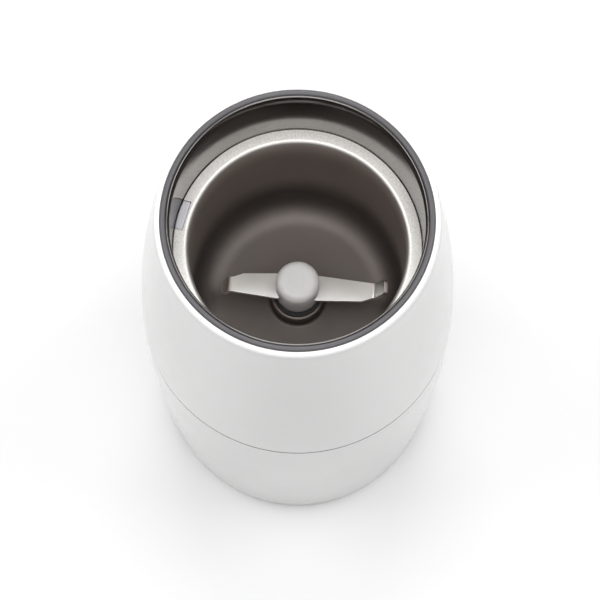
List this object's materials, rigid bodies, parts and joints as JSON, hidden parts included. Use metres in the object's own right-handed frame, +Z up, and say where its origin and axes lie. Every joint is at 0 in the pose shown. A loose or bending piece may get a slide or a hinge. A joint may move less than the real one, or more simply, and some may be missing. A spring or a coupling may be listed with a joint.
{
  "type": "electric spice grinder",
  "caption": "Barrel-shaped white electric spice grinder without its lid: steel bowl with a two-armed blade, dark rim ring, lid interlock button and an enclosed brushed motor.",
  "frame": {"origin": "centre of the circle of feet, on the surface that the grinder stands on", "axes": "+Z up along the barrel's axis, -Y to the front, the cord's inlet at +Y, the lid interlock towards -X"},
  "size_m": [0.0924, 0.0924, 0.1679],
  "materials": {
    "white_shell": "gloss, fine moulded surface",
    "base_plate": "satin moulded",
    "ring_plastic": "satin",
    "brushed_sheet": "brushed round the axis",
    "blade_steel": "satin, stamped",
    "hub_plastic": "semi-matte",
    "grey_plastic": "satin",
    "pad_plastic": "satin",
    "black_plastic": "satin",
    "button_plastic": "satin",
    "soft_rubber": "matt",
    "spring_steel": "drawn wire",
    "screw_steel": "zinc plated",
    "shaft_steel": "ground",
    "sheet_iron": "stacked sheets",
    "enamelled_copper": "wound wire",
    "bar_copper": "turned",
    "yellow_brass": "stamped",
    "bush_bronze": "sintered",
    "cast_zinc": "cast",
    "brown_phenolic": "moulded",
    "carbon": "pressed"
  },
  "bodies": {
    "housing": {"upper_housing": "white_shell", "lower_housing": "white_shell", "bottom_cover": "base_plate", "rubber_feet": "soft_rubber", "rim_ring": "ring_plastic", "steel_collar": "brushed_sheet", "grinding_bowl": "brushed_sheet", "bowl_cradle": "grey_plastic", "plunger_guide": "grey_plastic", "plunger_spring": "spring_steel", "switch_bracket": "black_plastic", "microswitch_body": "black_plastic", "switch_terminals": "yellow_brass", "switch_screws": "screw_steel", "bracket_screws": "screw_steel", "shaft_seal": "soft_rubber", "upper_bush": "bush_bronze", "lower_bush": "bush_bronze", "upper_bracket": "cast_zinc", "lower_bracket": "cast_zinc", "stator_core": "sheet_iron", "field_coils": "enamelled_copper", "brush_holders": "brown_phenolic", "carbon_brushes": "carbon", "brush_springs": "spring_steel", "brush_caps": "yellow_brass", "motor_screws": "screw_steel", "motor_nuts": "screw_steel", "rubber_mounts": "soft_rubber", "mount_screws": "screw_steel", "cradle_screws": "screw_steel", "housing_screws": "screw_steel", "cover_screws": "screw_steel", "cord_gland": "soft_rubber"},
    "rotor": {"blade": "blade_steel", "blade_hub": "hub_plastic", "hub_insert": "yellow_brass", "drive_shaft": "shaft_steel", "armature_core": "sheet_iron", "armature_windings": "enamelled_copper", "commutator": "bar_copper", "cooling_fan": "black_plastic"},
    "plunger": {"interlock_plunger": "pad_plastic", "plunger_clip": "spring_steel"},
    "lever": {"switch_lever": "spring_steel"},
    "button": {"switch_button": "button_plastic"}
  },
  "joints": [
    {"name": "blade_spin", "type": "hinge", "parent": "housing", "child": "rotor", "pos_m": [0, 0, 0.1], "axis": [0, 0, 1], "continuous": true},
    {"name": "lid_interlock", "type": "slide", "parent": "housing", "child": "plunger", "axis": [0, 0, -1], "range_m": [0, 0.003], "stiffness_N_per_m": 250, "springref_m": -0.002, "deforming": ["plunger_spring"]},
    {"name": "switch_lever_hinge", "type": "hinge", "parent": "housing", "child": "lever", "pos_m": [-0.03638, -0.00205, 0.0608], "axis": [-0.9613, 0.2756, 0], "range_deg": [0, 14.4]},
    {"name": "switch_button_slide", "type": "slide", "parent": "housing", "child": "button", "axis": [0, 0, -1], "range_m": [0, 0.0012]}
  ],
  "couplings": [
    {"joint": "switch_lever_hinge", "follows": "lid_interlock", "rad_per_m": 83},
    {"joint": "switch_button_slide", "follows": "lid_interlock", "ratio": 0.3667}
  ]
}
